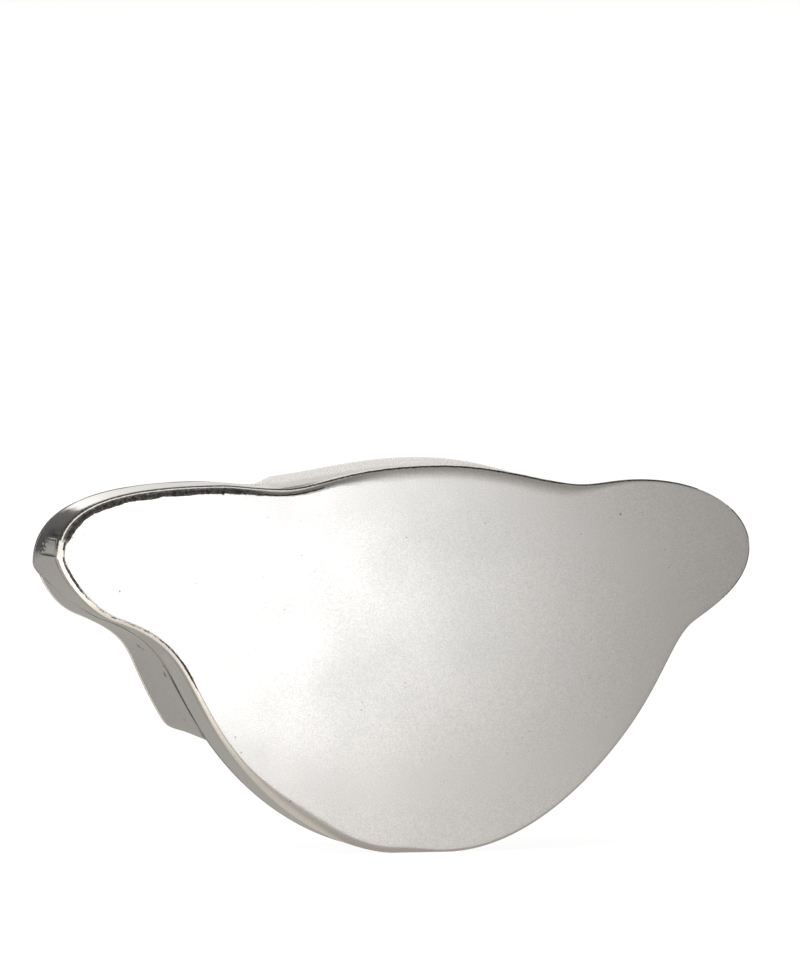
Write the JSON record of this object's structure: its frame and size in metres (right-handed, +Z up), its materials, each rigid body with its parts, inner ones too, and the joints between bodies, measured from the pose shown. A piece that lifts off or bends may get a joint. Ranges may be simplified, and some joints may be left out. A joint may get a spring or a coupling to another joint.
{
  "type": "sauce boat",
  "caption": "Upright sheet-silver sauce boat: two shallow shells with a wavy outline share one hollow, open along the hump and the pouring lobe, and stand on a flat in the belly.",
  "frame": {"origin": "on the table under the middle of the length and of the depth", "axes": "+X runs to the pouring lobe, along the length; +Y to the back, along the depth; +Z up"},
  "size_m": [0.201, 0.052, 0.1081],
  "materials": {
    "satin_silver": "satin silver sheet with fine handling marks",
    "polished_silver": "polished silver with hairline scratches and solder marks"
  },
  "bodies": {
    "root": {"front_panel": "satin_silver", "handle_band": "polished_silver", "belly_band": "polished_silver", "spout_band": "polished_silver", "middle_plate": "polished_silver", "back_band": "polished_silver", "back_panel": "satin_silver"}
  },
  "joints": []
}
